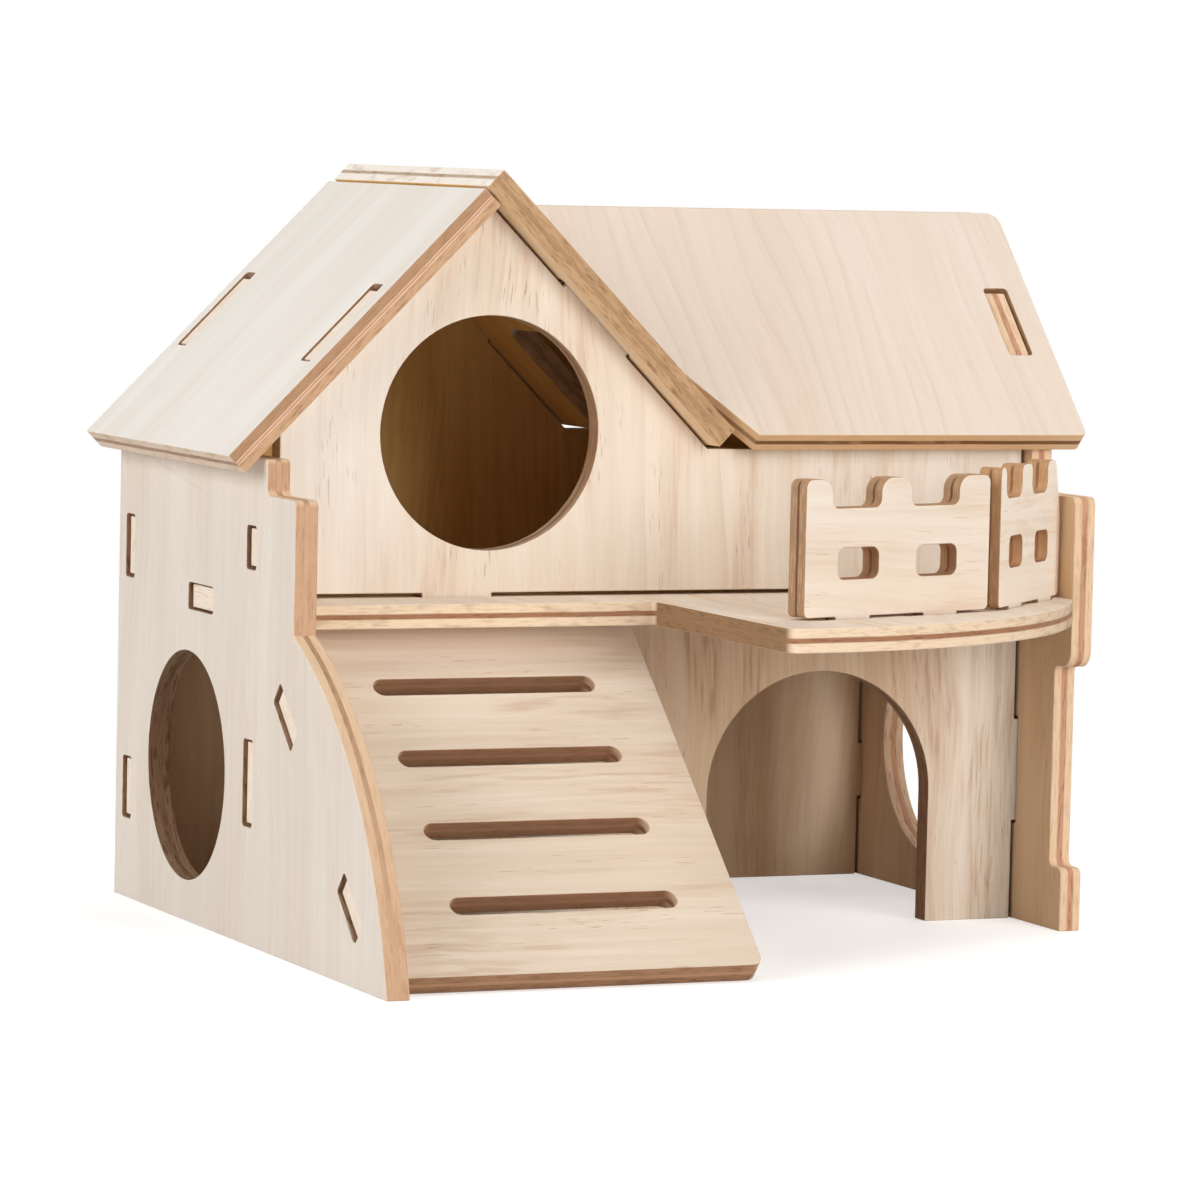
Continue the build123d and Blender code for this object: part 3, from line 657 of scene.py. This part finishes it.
def rampTree(material):
    # a sheet filled between its outline and a row of slots
    tree = bpy.data.node_groups.new("rampSheet", "GeometryNodeTree")
    for name, value in rampSizes.items():
        kind = "NodeSocketInt" if isinstance(value, int) else "NodeSocketFloat"
        tree.interface.new_socket(name, in_out="INPUT", socket_type=kind)
    tree.interface.new_socket("Geometry", in_out="OUTPUT", socket_type="NodeSocketGeometry")
    graph = Graph(tree)
    entry = tree.nodes.new("NodeGroupInput")
    size = {name: Socket(graph, entry.outputs[name]) for name in rampSizes}
    thick = size["Thickness"]
    lean = size["Lean"]
    length = (size["Rise"] - thick * graph.math("COSINE", lean)) / graph.math("SINE", lean)

    # The outline: two tabs on the left edge, and only the lower right corner round
    half = size["Tab Length"] * 0.5
    corners = [(0.0, 0.0), (size["Width"], 0.0), (size["Width"], length), (0.0, length)]
    for middle in (size["Second Tab"], size["First Tab"]):
        tip = 0 - size["Tab Depth"]
        corners += [(0.0, middle + half), (tip, middle + half)]
        corners += [(tip, middle - half), (0.0, middle - half)]
    index = graph.add("GeometryNodeInputIndex")
    places = {str(i): graph.combine(x, y, 0.0) for i, (x, y) in enumerate(corners)}
    corner = graph.add(
        "GeometryNodeIndexSwitch", {"data_type": "VECTOR", "items": len(corners)},
        {"Index": index, **places},
    )
    plate = graph.add("GeometryNodeMeshLine", {"mode": "OFFSET"}, {"Count": len(corners)})
    plate = graph.add("GeometryNodeMeshToCurve", None, {"Mesh": plate})
    plate = graph.add("GeometryNodeSetSplineCyclic", None, {"Geometry": plate, "Cyclic": True})
    plate = graph.add("GeometryNodeSetPosition", None, {"Geometry": plate, "Position": corner})
    radius = graph.math("COMPARE", index, 1.0, 0.1) * size["Corner Radius"]
    plate = graph.add(
        "GeometryNodeFilletCurve", {"mode": "POLY"},
        {"Curve": plate, "Radius": radius, "Count": rampSteps["corner"]},
    )

    # The row of slots
    slot = graph.add(
        "GeometryNodeCurvePrimitiveQuadrilateral", None,
        {"Width": size["Slot Length"], "Height": size["Slot Width"]},
    )
    slot = graph.add(
        "GeometryNodeFilletCurve", {"mode": "POLY"},
        {
            "Curve": slot, "Radius": size["Slot Width"] * 0.5, "Limit Radius": True,
            "Count": rampSteps["slotEnd"],
        },
    )
    row = graph.add(
        "GeometryNodeMeshLine", {"mode": "OFFSET"},
        {
            "Count": size["Slot Count"],
            "Start Location": graph.combine(
                size["Slot Start"] + size["Slot Length"] * 0.5,
                length * 0.5 - size["Slot Pitch"] * (size["Slot Count"] - 1) * 0.5,
                0.0,
            ),
            "Offset": graph.combine(0.0, size["Slot Pitch"], 0.0),
        },
    )
    slots = graph.add("GeometryNodeInstanceOnPoints", None, {"Points": row, "Instance": slot})
    slots = graph.add("GeometryNodeRealizeInstances", None, {"Geometry": slots})
    outline = graph.add("GeometryNodeJoinGeometry", None, {"Geometry": [plate, slots]})
    sheet = graph.add("GeometryNodeFillCurve", {"mode": "TRIANGLES"}, {"Curve": outline})

    # Thickness
    upper = graph.add(
        "GeometryNodeExtrudeMesh", {"mode": "FACES"},
        {"Mesh": sheet, "Offset Scale": thick, "Individual": False},
    )
    lower = graph.add("GeometryNodeFlipFaces", None, {"Mesh": sheet})
    slab = graph.add("GeometryNodeJoinGeometry", None, {"Geometry": [upper, lower]})
    whole = graph.add(
        "GeometryNodeMergeByDistance", None,
        {"Geometry": slab, "Distance": easing["mergeDistance"]},
    )

    # Onto its slope, with its top against the front wall
    back = length * graph.math("COSINE", lean) + size["Wall Gap"]
    whole = graph.add(
        "GeometryNodeTransform", None,
        {
            "Geometry": whole,
            "Translation": graph.combine(size["Left Edge"], 0 - back, 0.0),
            "Rotation": graph.combine(lean, 0.0, 0.0),
        },
    )
    whole = graph.add("GeometryNodeRealizeInstances", None, {"Geometry": whole})
    whole = graph.add("GeometryNodeSetMaterial", None, {"Geometry": whole, "Material": material})
    exitNode = tree.nodes.new("NodeGroupOutput")
    tree.links.new(whole.link, exitNode.inputs["Geometry"])
    return tree


def makeRamp(material):
    piece = bpy.data.objects.new("rampSheet", bpy.data.meshes.new("rampSheet"))
    bpy.context.scene.collection.objects.link(piece)
    tree = rampTree(material)
    nodes = piece.modifiers.new("rampSheet", "NODES")
    nodes.node_group = tree
    for item in tree.interface.items_tree:
        if item.in_out == "INPUT":
            nodes[item.identifier] = rampSizes[item.name]
    makePlain(piece)
    return piece


def makeSheet(name, material):
    piece = bpy.data.objects.new(name + "Sheet", cadNodes[name].data.copy())
    piece.data.materials.clear()
    piece.data.materials.append(material)
    bpy.context.scene.collection.objects.link(piece)
    return piece


# Ends of tabs: their direction and how far out they lie, in metres
sideTabs = [((-1, 0, 0), 0.0696), ((1, 0, 0), 0.0696)]
roofTabs = [
    ((-math.sin(gableLean), 0, math.cos(gableLean)), 0.112),
    ((math.sin(gableLean), 0, math.cos(gableLean)), 0.067),
]
tabEnds = {
    "front_wall_lower": sideTabs,
    "front_wall_upper": sideTabs + roofTabs,
    "back_wall": sideTabs + roofTabs,
    "deck": sideTabs,
    "ramp": sideTabs,
}

for name, changes in sheets.items():
    look = {**veneer, **changes}
    direction = Vector(look["face"]).normalized()
    depthStart = 1000 * min(vertex.co.dot(direction) for vertex in cadNodes[name].data.vertices)
    material = plywood(name + "Ply", look, depthStart)
    piece = makeRamp(material) if name == "ramp" else makeSheet(name, material)
    joinFaces(piece.data)
    ease(piece)
    markEdges(piece, look, tabEnds.get(name, []))
    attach(piece, "root")
    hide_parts(name)
    print(name, "eased:", len(piece.data.polygons), "faces")


# Floor, light and camera, in metres, watts and radians
studio = {
    "floorSize": 8.0,
    "floorColour": linear(224, 223, 222),
    "floorGlow": 0.5,
    "floorFade": (0.1, 0.26),
    "worldStrength": 0.16,
    "aim": (0.0, 0.0, 0.06),
}

lamps = {
    "key": {"place": (0.48, -1.52, 0.64), "power": 11.2, "size": 1.0, "colour": (1.0, 0.99, 0.97)},
    "fill": {"place": (0.5, -1.4, 0.13), "power": 7.0, "size": 0.9, "colour": (1.0, 0.99, 0.97)},
    "top": {"place": (-0.1, -0.4, 1.8), "power": 9.2, "size": 1.2, "colour": (1.0, 0.99, 0.97)},
    "rear": {"place": (1.2, 1.1, 0.9), "power": 14.0, "size": 1.2, "colour": (1.0, 0.99, 0.97)},
    "side": {"place": (-1.6, -0.3, 0.7), "power": 20.0, "size": 1.2, "colour": (0.98, 0.99, 1.0)},
}


def makeFloor():
    bpy.ops.mesh.primitive_plane_add(size=studio["floorSize"])
    floor = bpy.context.object
    floor.name = "floor"
    material = bpy.data.materials.new("paleFloor")
    material.use_nodes = True
    graph = Graph(material.node_tree)
    paint = graph.add(
        "ShaderNodeBsdfDiffuse", None, {"Color": studio["floorColour"], "Roughness": 0.0}
    )
    seen = graph.add("ShaderNodeLightPath", None, None, "Is Camera Ray")
    glow = graph.add(
        "ShaderNodeEmission", None, {"Color": (1, 1, 1, 1), "Strength": seen * studio["floorGlow"]}
    )
    near = graph.add("ShaderNodeAddShader", None, {0: paint, 1: glow})
    far = graph.add("ShaderNodeEmission", None, {"Color": (1, 1, 1, 1), "Strength": 1.0})
    point = graph.add("ShaderNodeTexCoord", None, None, "Object")
    reach = graph.add("ShaderNodeVectorMath", {"operation": "LENGTH"}, {0: point}, "Value")
    fade = graph.step(reach, *studio["floorFade"]) * seen
    both = graph.add("ShaderNodeMixShader", None, {0: fade, 1: near, 2: far})
    graph.add("ShaderNodeOutputMaterial", None, {"Surface": both})
    floor.data.materials.append(material)


def makeWorld():
    world = bpy.data.worlds.new("studioWorld")
    bpy.context.scene.world = world
    world.use_nodes = True
    graph = Graph(world.node_tree)
    around = graph.add(
        "ShaderNodeBackground", None,
        {"Color": (1, 1, 1, 1), "Strength": studio["worldStrength"]},
    )
    behind = graph.add("ShaderNodeBackground", None, {"Color": (1, 1, 1, 1), "Strength": 1.0})
    seen = graph.add("ShaderNodeLightPath", None, None, "Is Camera Ray")
    both = graph.add("ShaderNodeMixShader", None, {0: seen, 1: around, 2: behind})
    graph.add("ShaderNodeOutputWorld", None, {"Surface": both})


def makeLamp(name, place, power, size, colour):
    light = bpy.data.lights.new(name, "AREA")
    light.energy = power
    light.size = size
    light.color = colour
    lamp = bpy.data.objects.new(name, light)
    bpy.context.scene.collection.objects.link(lamp)
    aim = Vector(studio["aim"]) - Vector(place)
    turn = aim.to_track_quat("-Z", "Y").to_matrix().to_4x4()
    lamp.matrix_world = Matrix.Translation(place) @ turn


viewpoint = {
    "place": (-0.40264, -0.90253, 0.13629),
    "yaw": 0.41017,
    "pitch": 0.08038,
    "roll": -0.02276,
    "lens": 173.729,
    "sensor": 36,
    "nearest": 0.05,
}


def makeCamera():
    yaw, pitch, roll = viewpoint["yaw"], viewpoint["pitch"], viewpoint["roll"]
    ahead = Vector((
        math.sin(yaw) * math.cos(pitch), math.cos(yaw) * math.cos(pitch), -math.sin(pitch),
    ))
    right = Vector((math.cos(yaw), -math.sin(yaw), 0))
    down = ahead.cross(right)
    sideways = right * math.cos(roll) + down * math.sin(roll)
    under = down * math.cos(roll) - right * math.sin(roll)
    data = bpy.data.cameras.new("camera")
    data.sensor_width = viewpoint["sensor"]
    data.lens = viewpoint["lens"]
    data.clip_start = viewpoint["nearest"]
    camera = bpy.data.objects.new("camera", data)
    bpy.context.scene.collection.objects.link(camera)
    turn = Matrix((sideways, -under, -ahead)).transposed().to_4x4()
    camera.matrix_world = Matrix.Translation(viewpoint["place"]) @ turn
    bpy.context.scene.camera = camera


makeFloor()
makeWorld()
for name, lamp in lamps.items():
    makeLamp(name, **lamp)
makeCamera()
bpy.context.scene.view_settings.view_transform = "Standard"
print("studio ready")
